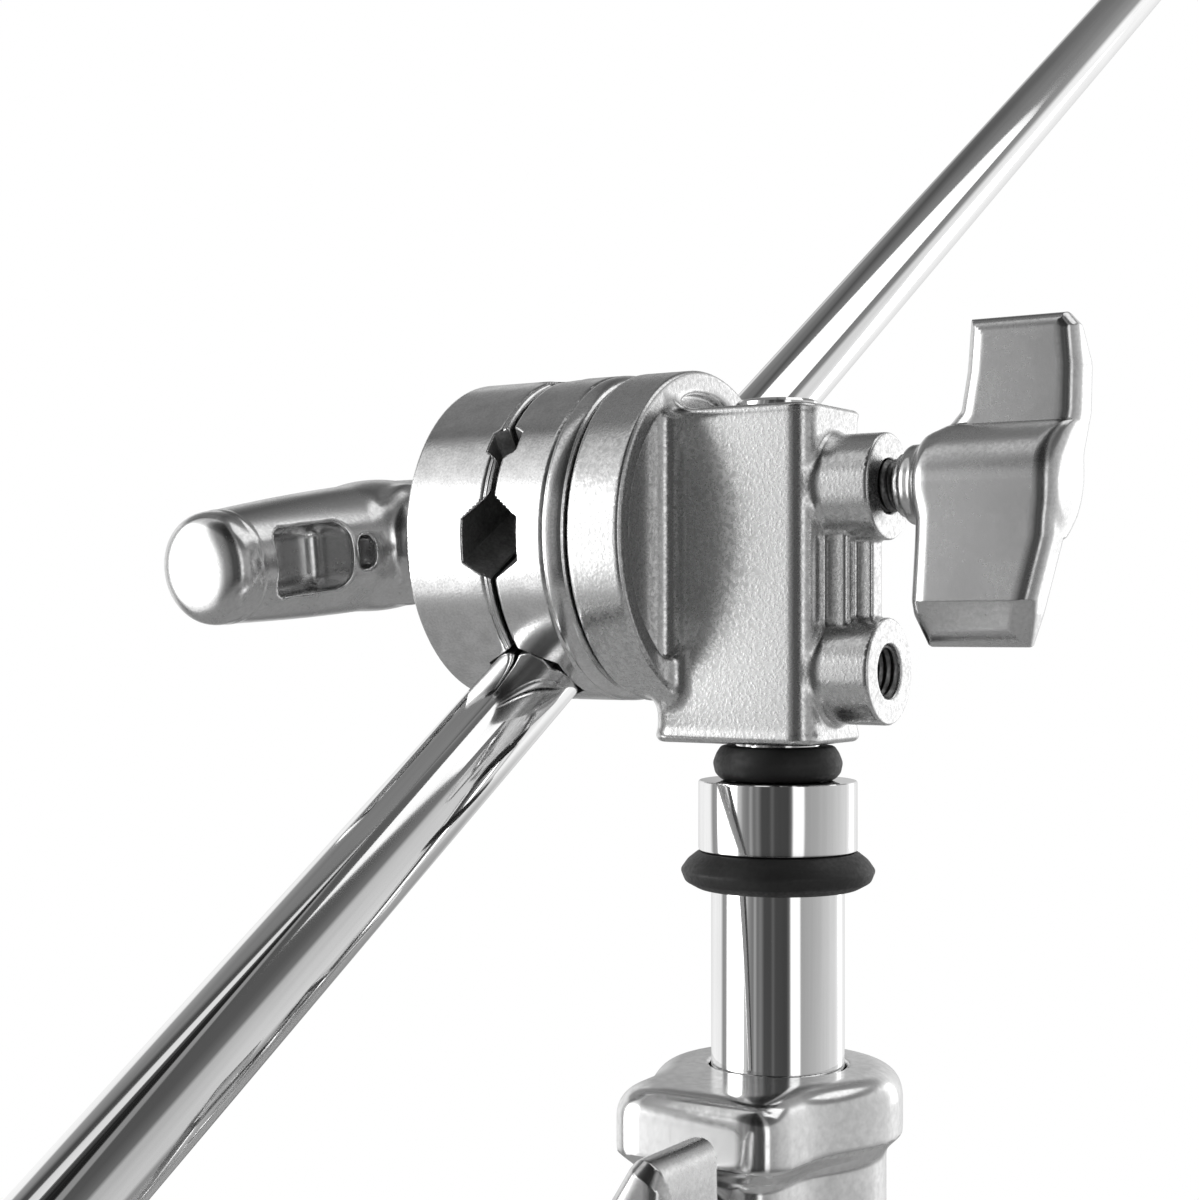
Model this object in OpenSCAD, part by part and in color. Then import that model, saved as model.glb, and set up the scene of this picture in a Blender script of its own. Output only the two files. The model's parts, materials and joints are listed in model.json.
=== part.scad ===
// C stand: three folding legs, a column, two sliding risers, a grip head and an extension arm.
// Origin on the floor under the column, +Z up, +X along the arm's raised end, +Y towards the jaws.

/* [Base] */
// Distance from the column axis to a leg's end
leg_reach = 480; // [440:5:520]
// Outer radius of a leg tube
leg_r = 12.5; // [11:0.5:13]
// Slope of the dropping stretch of a leg, in degrees
leg_slope = 45; // [37.5:7.5:52.5]
// Radius of the bends in a leg, at the tube's axis
leg_bend_r = 50; // [45:1:55]
// Height of one hub ring
hub_h = 46; // [42:1:50]
// Outer radius of a hub ring
hub_r = 30; // [28:0.5:32]

/* [Column and risers] */
// Outer radius of the column tube
column_r = 17.5; // [17.5:0.5:17.5]
// Outer radius of the lower riser
riser_1_r = 15; // [15:0.5:15]
// Outer radius of the upper riser
riser_2_r = 12.5; // [12.5:0.5:12.5]
// Wall of the three tubes
tube_wall = 1.5; // [1.5:0.1:1.5]
// Height of the top face of the column's casting
column_top = 1202; // [1100:1:1300]
// Height of a lock casting
casting_h = 62; // [60:0.5:66]
// Height of the upper riser that shows above the casting
riser_2_show = 33; // [10:1:60]

/* [Grip head] */
// Radius of the jaw plates
plate_r = 31.75; // [31:0.25:33]
// Distance from the column axis to the jaw seam
seam_y = 44.2; // [43:0.1:46]
// Gap between the jaw plates when clamped on the arm
seam_gap = 1.2; // [1:0.1:1.6]
// Thickness of the inner jaw plate
inner_plate_t = 15.6; // [15:0.1:16]
// Thickness of the outer jaw plate
outer_plate_t = 18.9; // [18:0.1:20]
// Radius of the bolt through the jaws
bolt_r = 4; // [4:0.5:4]
// Radius of the stud that the head sits on
stud_r = 7.94; // [7.94:0.01:7.94]

/* [Arm] */
// Radius of the arm
arm_r = 7.95; // [7.95:0.01:7.95]
// Length of the arm rod
arm_l = 1016; // [600:1:1100]
// Length of the arm below the head
arm_tail = 290; // [220:1:300]
// Angle of the arm above horizontal
arm_angle = 31.8; // [0:0.1:60]
// Distance between the arm's axis and the head's bolt
arm_offset = 14.7; // [14.7:0.1:15.5]

/* [T-handles] */
// Radius of the lock screws
screw_r = 4.95; // [4.95:0.01:4.95]
// Turn of the two riser lock handles about their screws, in degrees
lock_turn = -30; // [-40:1:40]
// Droop of the jaw clamp handle, in degrees
clamp_turn = 7; // [0:1:20]

/* [Hidden] */
$fn = 64;

chrome = [0.80, 0.81, 0.83];
cast = [0.70, 0.71, 0.72];
machined = [0.78, 0.78, 0.79];
steel = [0.55, 0.55, 0.57];
black = [0.08, 0.08, 0.08];
nylon = [0.88, 0.87, 0.82];
brass = [0.75, 0.62, 0.32];

cut = 1;            // overrun of a cutting tool past the face it opens
press = 0.01;       // radial gap where one piece is pressed into another
run = 0.06;         // radial gap where one piece turns or slides in another
slack = 0.1;        // gap between flat faces that turn on each other

// Base
leg_wall = 1.5;
foot_r = 14.5;
foot_l = 32;
foot_wall = 4;
leg_floor_z = 13.5;
washer_t = 1.2;
hub_step = hub_h + washer_t + 2 * slack;
hub_low_z = 74;
hub_low_mid = hub_low_z + hub_h / 2;
hub_mids = [hub_low_mid, hub_low_mid + hub_step, hub_low_mid + 2 * hub_step];
leg_turns = [240, 120, 0];
socket_r = 17;
socket_in = 34;
socket_out = 66;
leg_start = 34.5;
leg_bend_x = 72;
leg_sides = 20;
leg_bend_step = 7.5;
base_flange_h = 8;
base_plug_h = 16;
base_flange_r = 25;
stop_collar_h = 10;
stop_collar_r = 26;

// Lock castings, measured from the bottom face of a casting
seat_h = 20;
lock_z = 36;
bush_z = 47;
bush_h = 11;
bush_wall = 2;
band_h = 12;
band_proud = 3.8;
neck_wall = 4.5;
lock_front = 21.9;
front_step = 2.5;
wedge_root = 0.9;
riser_gap = 0.6;
collar_foot_h = 14;
front_half_w = 16.5;
pad_r = 6;
touch_gap = 0.05;
screw_end_gap = 0.5;
trim = 100;
ring_large_shoulder_r = 16.2;
ring_large_side_r = 17.6;
ring_large_side_h = 2;
ring_small_shoulder_r = 11;
ring_small_low = 1.6;
ring_small_high = 1.8;
clamp_root_r = 12.2;
clamp_end_r = 10.1;
arm_neck_back = 22;
arm_neck_l = 30;
arm_neck_w = 20;
arm_socket_over = 8;
roll_pin_in = 20;
tail_cap_inset = 0.3;
pad_l = 7.5;
pad_gap = 0.2;
pad_travel = 4;
lock_show = 7;

casting_gap = 0.8;
riser_1_top = column_top + casting_gap + casting_h;
head_above_top = 99.2;
head_z = riser_1_top + head_above_top - 33 + riser_2_show;
guide_wall_1 = column_r - tube_wall - riser_1_r - run;
guide_wall_2 = riser_1_r - tube_wall - riser_2_r - run;
guide_h = 28;
guide_floor = 3;
riser_1_low = 100;
riser_2_low = 116;

// Stud, collar and rings, measured up from the head's axis
collar_top = -46.1;
collar_h = 13.2;
collar_r = 14.9;
ring_small_top = -39.6;
ring_small_r = 12.2;
ring_large_r = 18.3;
ring_large_h = 7;
stud_top = 25.2;
stud_l = 110;

// Head body
body_half_x = 12;
body_back_y = -12.2;
body_low = -39;
body_high = 23.5;
disc_back_y = 15.6;
disc_front_y = 27;
disc_rim = 4.5;
disc_recess = 2;
foot_y = 20.8;
foot_high = -31;
boss_r = 9.85;
boss_end_y = -22.96;
boss_high_z = 8.3;
boss_low_z = -25.5;
boss_bore_r = 5;
web_y = -20.5;
web_half = 2.2;
block_front_y = 18.6;
web_root_y = -17;
web_root_half = 5;
corner_r = 3;
bolt_head_r = 7.5;
bolt_head_h = 4;
bolt_head_y = 11.2;
bolt_end = 92;
friction_t = 0.9;
friction_r = 22;
plate_gap = 1;
inner_back = disc_front_y + plate_gap;
inner_front = seam_y - seam_gap / 2;
outer_back = seam_y + seam_gap / 2;
outer_front = outer_back + outer_plate_t;
chamfer = 1.1;
flat_root = cos(30);
channel_arm = 8;
channel_half = 6.4;
channel_three = 4.85;
channel_quarter = 3.4;
half_offset = 15.6;
cross_offset = 13;
spring_pocket_r = 6.3;
spring_pocket = 7;
spring_r = 5.2;
spring_wire = 0.55;
spring_turns = 5;
spring_steps = 18;
spring_sides = 6;
spring_l = 2 * spring_pocket + seam_gap - 0.6;
thrust_t = 2;
thrust_r = 12;
receiver_pad_r = 5.6;
receiver_pad_l = 5;
receiver_collar_y = -25.6;

// Arm and its fixed head, along the arm from the head's axis
arm_wall = 1.6;
arm_end = arm_l - arm_tail;
tail_cap_t = 3;
tail_plug = 12;
socket_back = 62;
arm_head_x = arm_end + 46;
arm_socket_r = 12;
arm_head_rise = 39.2;
arm_head_turn = arm_angle - 90;
roll_pin_r = 2.5;
roll_pin_l = 22;

// T-handle outline: along the wing, then away from the collar
handle_outline = [[-29.3, 6], [-23.5, 4.4], [-10, 5.2], [0, 5], [8, 6], [13, 11], [20, 12.2], [29.3, 12.9],
    [29.3, 30.8], [27, 32.6], [20, 33], [12, 33], [4, 31.5], [-10, 30.6], [-23.5, 27], [-29.3, 25]];
wing_t = 11;
wing_side = 2;
handle_hub_r = 10.5;
handle_hub_z = 3.5;
handle_hub_h = 28.5;
handle_collar_r = 7.5;
handle_screw_in = 24;
clamp_neck_r = 9;
clamp_hub_r = 12.8;
clamp_hub_z = 18;
clamp_hub_h = 25;
clamp_wing_z = 31;
clamp_wing_l = 54.5;
clamp_tip_r = 10.5;
clamp_tip_t = 2.5;

function arc(r, a0, a1, n) = [for (i = [0 : n]) let (a = a0 + (a1 - a0) * i / n) r * [cos(a), sin(a)]];

module pipe(r_out, r_in, h) {
    difference() {
        cylinder(r = r_out, h = h);
        translate([0, 0, -cut]) cylinder(r = r_in, h = h + 2 * cut);
    }
}

module tube_z(r_out, wall, z0, z1) {
    translate([0, 0, z0]) pipe(r_out, r_out - wall, z1 - z0);
}

// Frame of the jaws: z along the bolt, x along the arm, y across the arm towards its lower side
module in_head() {
    translate([0, 0, head_z]) rotate([0, -arm_angle, 0]) rotate([-90, 0, 0]) children();
}

module in_arm_head() {
    in_head() translate([arm_head_x, arm_offset, arm_head_rise]) rotate([0, 0, arm_head_turn]) children();
}

// ---- Base ----
// Stations along a leg tube's axis: distance out, height and downward slope
function leg_path(z) = let (
        fall = leg_bend_r * (1 - cos(leg_slope)),
        reach = leg_bend_r * sin(leg_slope),
        slope_run = (z - leg_floor_z - 2 * fall) / tan(leg_slope),
        floor_x = leg_bend_x + 2 * reach + slope_run
    ) concat(
        [[leg_start, z, 0]],
        [for (u = [0 : leg_bend_step : leg_slope])
            [leg_bend_x + leg_bend_r * sin(u), z - leg_bend_r * (1 - cos(u)), u]],
        [for (u = [leg_slope : -leg_bend_step : 0])
            [floor_x - leg_bend_r * sin(u), leg_floor_z + leg_bend_r * (1 - cos(u)), u]],
        [[leg_reach - foot_wall, leg_floor_z, 0]]
    );

function leg_ring(station, r) = [for (i = [0 : leg_sides - 1]) let (a = 360 * i / leg_sides)
    [station[0] + r * cos(a) * sin(station[2]), r * sin(a), station[1] + r * cos(a) * cos(station[2])]];

// Quads of two triangles between ring a and ring b of a leg tube
function band(a, b) = [for (i = [0 : leg_sides - 1]) let (j = (i + 1) % leg_sides)
    each [[a + i, a + j, b + j], [a + i, b + j, b + i]]];

module leg_tube(z) {
    path = leg_path(z);
    count = len(path);
    inner = count * leg_sides;
    last = (count - 1) * leg_sides;
    polyhedron(
        points = concat(
            [for (s = path) each leg_ring(s, leg_r)],
            [for (s = path) each leg_ring(s, leg_r - leg_wall)]),
        faces = concat(
            [for (k = [0 : count - 2]) each band(k * leg_sides, (k + 1) * leg_sides)],
            [for (k = [0 : count - 2]) each band(inner + (k + 1) * leg_sides, inner + k * leg_sides)],
            band(inner, 0),
            band(last, inner + last))
    );
}

module leg_hub(z, bore_r) {
    difference() {
        union() {
            translate([0, 0, z - hub_h / 2]) cylinder(r = hub_r, h = hub_h);
            translate([0, 0, z]) rotate([0, 90, 0]) cylinder(r = socket_r, h = socket_out);
        }
        translate([0, 0, z - hub_h / 2 - cut]) cylinder(r = bore_r, h = hub_h + 2 * cut);
        translate([socket_in, 0, z]) rotate([0, 90, 0]) cylinder(r = leg_r + press, h = socket_out);
    }
}

module leg_foot() {
    difference() {
        translate([leg_reach - foot_l, 0, leg_floor_z]) rotate([0, 90, 0]) cylinder(r = foot_r, h = foot_l);
        translate([leg_reach - foot_l - cut, 0, leg_floor_z]) rotate([0, 90, 0])
            cylinder(r = leg_r + press, h = foot_l - foot_wall + cut);
        translate([leg_reach - 2 * foot_l, -foot_r, -foot_r]) cube([3 * foot_l, 2 * foot_r, foot_r]);
    }
}

module leg_part(which, part) {
    rotate([0, 0, leg_turns[which]]) {
        if (part == "hub") color(cast) leg_hub(hub_mids[which], column_r + (which == 0 ? press : run));
        if (part == "tube") color(chrome) leg_tube(hub_mids[which]);
        if (part == "foot") color(black) leg_foot();
    }
}

module column_base_cap() {
    color(black) {
        translate([0, 0, hub_low_z - base_flange_h]) cylinder(r = base_flange_r, h = base_flange_h - slack);
        translate([0, 0, hub_low_z - base_flange_h])
            cylinder(r = column_r - tube_wall - press, h = base_flange_h + base_plug_h);
    }
}

module hub_washers() {
    color(nylon) for (mid = hub_mids)
        translate([0, 0, mid + hub_h / 2 + slack]) pipe(hub_r - 1, column_r + slack, washer_t);
}

module hub_stop_collar() {
    color(cast) translate([0, 0, hub_mids[2] + hub_h / 2 + washer_t + 2 * slack])
        pipe(stop_collar_r, column_r + press, stop_collar_h);
}

// ---- Column, risers and their locks ----
module casting_wedge(r, front, half_w) {
    polygon([[-front, -half_w], [0, -wedge_root * r], [0, wedge_root * r], [-front, half_w]]);
}

// Lock casting: seat for the lower tube, band round the top, boss for the lock screw
module lock_casting(seat_r, riser_r) {
    neck_r = seat_r + neck_wall;
    band_r = neck_r + band_proud;
    front = riser_r + lock_front;
    band_z = casting_h - band_h;
    difference() {
        union() {
            cylinder(r = neck_r, h = band_z + band_h / 2);
            translate([0, 0, collar_foot_h]) linear_extrude(band_z + band_h / 2 - collar_foot_h)
                casting_wedge(neck_r, front - front_step, front_half_w - front_step);
            translate([0, 0, band_z]) cylinder(r = band_r, h = band_h);
            translate([0, 0, band_z]) linear_extrude(band_h) casting_wedge(band_r, front, front_half_w);
        }
        translate([0, 0, -cut]) cylinder(r = seat_r + press, h = seat_h + cut);
        translate([0, 0, seat_h - cut]) cylinder(r = riser_r + riser_gap, h = casting_h);
        translate([0, 0, bush_z]) cylinder(r = riser_r + bush_wall + press, h = bush_h);
        translate([0, 0, lock_z]) rotate([0, -90, 0])
            cylinder(r = pad_r + run, h = riser_r + pad_gap + pad_l + pad_travel);
        translate([0, 0, lock_z]) rotate([0, -90, 0]) cylinder(r = screw_r + run, h = front + cut);
    }
}

module lock_bush(riser_r) {
    translate([0, 0, bush_z]) pipe(riser_r + bush_wall, riser_r + run, bush_h);
}

module lock_pad(riser_r) {
    difference() {
        translate([0, 0, lock_z]) rotate([0, -90, 0])
            cylinder(r = pad_r, h = riser_r + pad_gap + pad_l);
        cylinder(r = riser_r + pad_gap, h = casting_h);
    }
}

module lock_screw(riser_r) {
    start = riser_r + pad_gap + pad_l + touch_gap;
    stop = riser_r + lock_front + lock_show + handle_screw_in;
    translate([-start, 0, lock_z]) rotate([0, -90, 0]) cylinder(r = screw_r, h = stop - start);
}

module lock_handle(riser_r) {
    translate([-(riser_r + lock_front + lock_show), 0, lock_z]) rotate([0, -90, 0]) rotate([0, 0, lock_turn])
        t_handle();
}

module t_handle() {
    difference() {
        union() {
            cylinder(r = handle_collar_r, h = handle_hub_z + cut);
            translate([0, 0, handle_hub_z]) cylinder(r = handle_hub_r, h = handle_hub_h);
            intersection() {
                rotate([90, 0, 0]) translate([0, 0, -wing_side]) linear_extrude(wing_t)
                    polygon(handle_outline);
                translate([0, -trim / 2, 0]) cube(trim);
            }
            intersection() {
                rotate([90, 0, 0]) translate([0, 0, wing_side - wing_t]) linear_extrude(wing_t)
                    polygon(handle_outline);
                translate([-trim, -trim / 2, 0]) cube(trim);
            }
        }
        translate([0, 0, -cut]) cylinder(r = screw_r + press, h = handle_screw_in + cut + screw_end_gap);
    }
}

module at_column_lock() {
    translate([0, 0, column_top - casting_h]) children();
}

module at_riser_lock() {
    translate([0, 0, riser_1_top - casting_h]) children();
}

module guide_cup(outer_r, riser_r, z) {
    difference() {
        translate([0, 0, z - guide_floor]) cylinder(r = outer_r, h = guide_h + guide_floor);
        translate([0, 0, z]) cylinder(r = riser_r + press, h = guide_h + cut);
        translate([0, 0, z - guide_floor - cut]) cylinder(r = riser_r / 3, h = guide_floor + 2 * cut);
    }
}

module riser_collar() {
    difference() {
        translate([0, 0, head_z + collar_top - collar_h]) cylinder(r = collar_r, h = collar_h);
        translate([0, 0, head_z + collar_top - collar_h - cut])
            cylinder(r = stud_r + press, h = collar_h + 2 * cut);
    }
}

// The thick stretch fills the riser tube below the collar
module stud() {
    shown_l = stud_top - collar_top + collar_h;
    color(chrome) translate([0, 0, head_z + stud_top - stud_l]) {
        translate([0, 0, stud_l - shown_l]) cylinder(r = stud_r, h = shown_l);
        cylinder(r = riser_2_r - tube_wall - press, h = stud_l - shown_l);
    }
}

module ring_large() {
    half_h = ring_large_h / 2;
    inner = riser_2_r + slack;
    shoulder = ring_large_shoulder_r;
    side = ring_large_side_r;
    color(black) translate([0, 0, head_z + collar_top - collar_h - half_h - slack]) rotate_extrude()
        polygon([[inner, -half_h], [shoulder, -half_h], [side, -ring_large_side_h], [ring_large_r, 0],
            [side, ring_large_side_h], [shoulder, half_h], [inner, half_h]]);
}

module ring_small() {
    h = ring_small_top - collar_top;
    color(black) translate([0, 0, head_z + collar_top + slack]) rotate_extrude()
        polygon([[stud_r + press, 0], [ring_small_shoulder_r, 0], [ring_small_r, ring_small_low],
            [ring_small_r, h - ring_small_high], [ring_small_shoulder_r, h - slack],
            [stud_r + press, h - slack]]);
}

// ---- Grip head ----
module disc_z(r, z0, z1) {
    translate([0, 0, z0]) rotate_extrude() polygon([[0, 0], [r - chamfer, 0], [r, chamfer],
        [r, z1 - z0 - chamfer], [r - chamfer, z1 - z0], [0, z1 - z0]]);
}

module back_disc() {
    disc_z(plate_r, disc_back_y, disc_front_y);
}

module channel_x(y, flat) {
    translate([-2 * plate_r, y, seam_y]) rotate([0, 90, 0]) rotate([0, 0, 30])
        cylinder(r = flat / flat_root, h = 4 * plate_r, $fn = 6);
}

module channel_y(x, flat) {
    translate([x, -2 * plate_r, seam_y]) rotate([-90, 0, 0])
        cylinder(r = flat / flat_root, h = 4 * plate_r, $fn = 6);
}

module jaw_cuts() {
    cylinder(r = bolt_r + run, h = 3 * seam_y);
    translate([0, 0, seam_y - seam_gap / 2 - spring_pocket])
        cylinder(r = spring_pocket_r, h = 2 * spring_pocket + seam_gap);
    channel_x(arm_offset, channel_arm);
    channel_x(-half_offset, channel_half);
    channel_y(-cross_offset, channel_quarter);
    channel_y(cross_offset, channel_three);
}

module inner_plate() {
    color(machined) difference() {
        disc_z(plate_r, inner_back, inner_front);
        jaw_cuts();
    }
}

module outer_plate() {
    color(machined) difference() {
        disc_z(plate_r, outer_back, outer_front);
        jaw_cuts();
    }
}

module head_bolt_shape() {
    color(steel) {
        translate([0, 0, bolt_head_y]) cylinder(r = bolt_head_r, h = bolt_head_h);
        translate([0, 0, bolt_head_y]) cylinder(r = bolt_r, h = bolt_end - bolt_head_y);
    }
}

module friction_washer() {
    color(brass) translate([0, 0, disc_front_y]) pipe(friction_r, bolt_r + slack, friction_t);
}

module thrust_washer() {
    color(steel) translate([0, 0, outer_front]) pipe(thrust_r, bolt_r + slack, thrust_t);
}

function coil_ring(i, r, wire, pitch) = let (a = 360 * i / spring_steps)
    [for (j = [0 : spring_sides - 1]) let (b = 360 * j / spring_sides)
        [(r + wire * cos(b)) * cos(a), (r + wire * cos(b)) * sin(a),
            pitch * i / spring_steps + wire * sin(b)]];

// Open coil round the bolt that pushes the jaw plates apart
module jaw_spring() {
    rings = spring_turns * spring_steps;
    n = spring_sides;
    pitch = (spring_l - 2 * spring_wire) / spring_turns;
    points = [for (i = [0 : rings]) each coil_ring(i, spring_r, spring_wire, pitch)];
    sides = [for (i = [0 : rings - 1], j = [0 : n - 1]) let (k = (j + 1) % n)
        each [[i * n + j, i * n + k, (i + 1) * n + k], [i * n + j, (i + 1) * n + k, (i + 1) * n + j]]];
    caps = [for (j = [1 : n - 2]) each [[0, j + 1, j], [rings * n, rings * n + j, rings * n + j + 1]]];
    color(steel) translate([0, 0, seam_y - spring_l / 2 + spring_wire])
        polyhedron(points = points, faces = concat(sides, caps));
}

module clamp_handle() {
    color(cast) translate([0, 0, outer_front + thrust_t + slack]) difference() {
        union() {
            cylinder(r = clamp_neck_r, h = clamp_hub_z + cut);
            translate([0, 0, clamp_hub_z]) cylinder(r = clamp_hub_r, h = clamp_hub_h);
            for (side = [0, 180]) rotate([0, 0, side]) translate([0, 0, clamp_wing_z]) rotate([0, 90, 0]) {
                cylinder(r1 = clamp_root_r, r2 = clamp_end_r, h = clamp_wing_l - clamp_tip_t);
                translate([0, 0, clamp_wing_l - clamp_tip_t]) cylinder(r = clamp_tip_r, h = clamp_tip_t);
            }
        }
        translate([0, 0, -cut]) cylinder(r = bolt_r + run, h = clamp_wing_z + cut);
    }
}

module rounded_block(half_x, y0, y1, z0, z1, r) {
    translate([0, 0, z0]) {
        translate([-half_x, y0 + r, 0]) cube([2 * half_x, y1 - y0 - r, z1 - z0]);
        translate([-half_x + r, y0, 0]) cube([2 * (half_x - r), y1 - y0, z1 - z0]);
        for (x = [-half_x + r, half_x - r]) translate([x, y0 + r, 0]) cylinder(r = r, h = z1 - z0);
    }
}

module boss(z) {
    translate([0, 0, z]) rotate([90, 0, 0]) cylinder(r = boss_r, h = -boss_end_y);
}

module head_body() {
    color(cast) translate([0, 0, head_z]) difference() {
        union() {
            rounded_block(body_half_x, body_back_y, block_front_y, body_low, body_high, corner_r);
            translate([-body_half_x, 0, body_low]) cube([2 * body_half_x, foot_y, foot_high - body_low]);
            boss(boss_high_z);
            boss(boss_low_z);
            translate([-web_root_half, web_root_y, boss_low_z])
                cube([2 * web_root_half, -web_root_y, boss_high_z - boss_low_z]);
            translate([-web_half, web_y, boss_low_z]) cube([2 * web_half, -web_y, boss_high_z - boss_low_z]);
            rotate([-90, 0, 0]) difference() {
                back_disc();
                translate([0, 0, disc_back_y - cut]) cylinder(r = plate_r - disc_rim, h = disc_recess + cut);
            }
        }
        translate([0, 0, body_low - cut]) cylinder(r = stud_r + run, h = body_high - body_low + 2 * cut);
        for (z = [boss_high_z, boss_low_z]) translate([0, 0, z]) rotate([90, 0, 0])
            cylinder(r = boss_bore_r, h = -boss_end_y + cut);
        translate([0, 0, boss_high_z]) rotate([90, 0, 0])
            cylinder(r = receiver_pad_r + run, h = stud_r + pad_gap + receiver_pad_l + pad_travel);
        rotate([-90, 0, 0]) cylinder(r = bolt_head_r + press, h = bolt_head_y + bolt_head_h);
        rotate([-90, 0, 0]) cylinder(r = bolt_r + press, h = disc_front_y + cut);
    }
}

module receiver_pad() {
    color(brass) translate([0, 0, head_z]) difference() {
        translate([0, 0, boss_high_z]) rotate([90, 0, 0])
            cylinder(r = receiver_pad_r, h = stud_r + pad_gap + receiver_pad_l);
        translate([0, 0, boss_low_z]) cylinder(r = stud_r + pad_gap, h = 2 * casting_h);
    }
}

module receiver_screw() {
    start = stud_r + pad_gap + receiver_pad_l + touch_gap;
    color(steel) translate([0, -start, head_z + boss_high_z]) rotate([90, 0, 0])
        cylinder(r = screw_r, h = handle_screw_in - receiver_collar_y - start);
}

module receiver_handle() {
    color(cast) translate([0, receiver_collar_y, head_z + boss_high_z]) rotate([0, -90, 0]) rotate([90, 0, 0])
        t_handle();
}

// ---- Arm ----
module arm_tube() {
    color(chrome) in_head() translate([-arm_tail, arm_offset, seam_y]) rotate([0, 90, 0])
        pipe(arm_r, arm_r - arm_wall, arm_l);
}

module arm_tail_cap() {
    color(black) in_head() translate([-arm_tail, arm_offset, seam_y]) rotate([0, 90, 0]) {
        translate([0, 0, -tail_cap_t]) cylinder(r = arm_r - tail_cap_inset, h = tail_cap_t);
        cylinder(r = arm_r - arm_wall - press, h = tail_plug);
    }
}

module arm_head_body() {
    low = arm_end - socket_back;
    color(cast) in_head() translate([0, arm_offset, 0]) difference() {
        union() {
            translate([low, 0, seam_y]) rotate([0, 90, 0])
                cylinder(r = arm_socket_r, h = arm_head_x - low + arm_socket_over);
            translate([arm_head_x - arm_neck_back, -arm_neck_w / 2, seam_y])
                cube([arm_neck_l, arm_neck_w, disc_back_y + arm_head_rise - seam_y + 1]);
            translate([arm_head_x, 0, arm_head_rise]) back_disc();
        }
        translate([low - cut, 0, seam_y]) rotate([0, 90, 0])
            cylinder(r = arm_r + press, h = socket_back + cut);
        translate([low + roll_pin_in, 0, seam_y - roll_pin_l])
            cylinder(r = roll_pin_r + press, h = 2 * roll_pin_l);
        translate([arm_head_x, 0, arm_head_rise + bolt_head_y - cut])
            cylinder(r = bolt_head_r + press, h = bolt_head_h + cut);
        translate([arm_head_x, 0, arm_head_rise + bolt_head_y])
            cylinder(r = bolt_r + press, h = disc_front_y);
    }
}

module arm_roll_pin() {
    color(steel) in_head() translate([arm_end - socket_back + roll_pin_in, arm_offset, seam_y - roll_pin_l / 2])
        cylinder(r = roll_pin_r, h = roll_pin_l);
}

column_base_cap();
leg_part(0, "hub");  // leg_low_hub
leg_part(0, "tube");  // leg_low_tube
leg_part(0, "foot");  // leg_low_foot
leg_part(1, "hub");  // leg_mid_hub
leg_part(1, "tube");  // leg_mid_tube
leg_part(1, "foot");  // leg_mid_foot
leg_part(2, "hub");  // leg_high_hub
leg_part(2, "tube");  // leg_high_tube
leg_part(2, "foot");  // leg_high_foot
hub_washers();
hub_stop_collar();
color(chrome) tube_z(column_r, tube_wall, hub_low_z, column_top - casting_h + seat_h);  // column_tube
color(cast) at_column_lock() lock_casting(column_r, riser_1_r);  // column_casting
color(nylon) at_column_lock() lock_bush(riser_1_r);  // column_bush
color(nylon) at_column_lock() lock_pad(riser_1_r);  // column_lock_pad
color(steel) at_column_lock() lock_screw(riser_1_r);  // column_lock_screw
color(cast) at_column_lock() lock_handle(riser_1_r);  // column_lock_handle
color(chrome) tube_z(riser_1_r, tube_wall, riser_1_low, riser_1_top - casting_h + seat_h);  // riser_1_tube
color(nylon) guide_cup(riser_1_r + guide_wall_1, riser_1_r, riser_1_low);  // riser_1_guide
color(cast) at_riser_lock() lock_casting(riser_1_r, riser_2_r);  // riser_1_casting
color(nylon) at_riser_lock() lock_bush(riser_2_r);  // riser_1_bush
color(nylon) at_riser_lock() lock_pad(riser_2_r);  // riser_1_lock_pad
color(steel) at_riser_lock() lock_screw(riser_2_r);  // riser_1_lock_screw
color(cast) at_riser_lock() lock_handle(riser_2_r);  // riser_1_lock_handle
color(chrome) tube_z(riser_2_r, tube_wall, riser_2_low + riser_2_show, head_z + collar_top - collar_h);  // riser_2_tube
color(nylon) guide_cup(riser_2_r + guide_wall_2, riser_2_r, riser_2_low + riser_2_show);  // riser_2_guide
color(chrome) riser_collar();  // riser_2_collar
stud();
ring_large();
ring_small();
head_body();
in_head() head_bolt_shape();  // head_bolt
in_head() friction_washer();  // head_friction_washer
in_head() inner_plate();  // head_inner_plate
in_head() outer_plate();  // head_outer_plate
in_head() jaw_spring();  // head_spring
in_head() thrust_washer();  // head_thrust_washer
in_head() rotate([0, 0, arm_angle - clamp_turn]) clamp_handle();  // head_clamp_handle
receiver_pad();
receiver_screw();
receiver_handle();
arm_tube();
arm_tail_cap();
arm_head_body();
arm_roll_pin();
in_arm_head() head_bolt_shape();  // arm_head_bolt
in_arm_head() friction_washer();  // arm_friction_washer
in_arm_head() inner_plate();  // arm_inner_plate
in_arm_head() outer_plate();  // arm_outer_plate
in_arm_head() jaw_spring();  // arm_spring
in_arm_head() thrust_washer();  // arm_thrust_washer
in_arm_head() clamp_handle();  // arm_clamp_handle
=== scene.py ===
"""Looks of the C stand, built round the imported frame.

Shapes are written in millimetres and made in metres.
"""
import json
import math

import bpy
import numpy as np
from mathutils import Matrix, Vector


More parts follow.
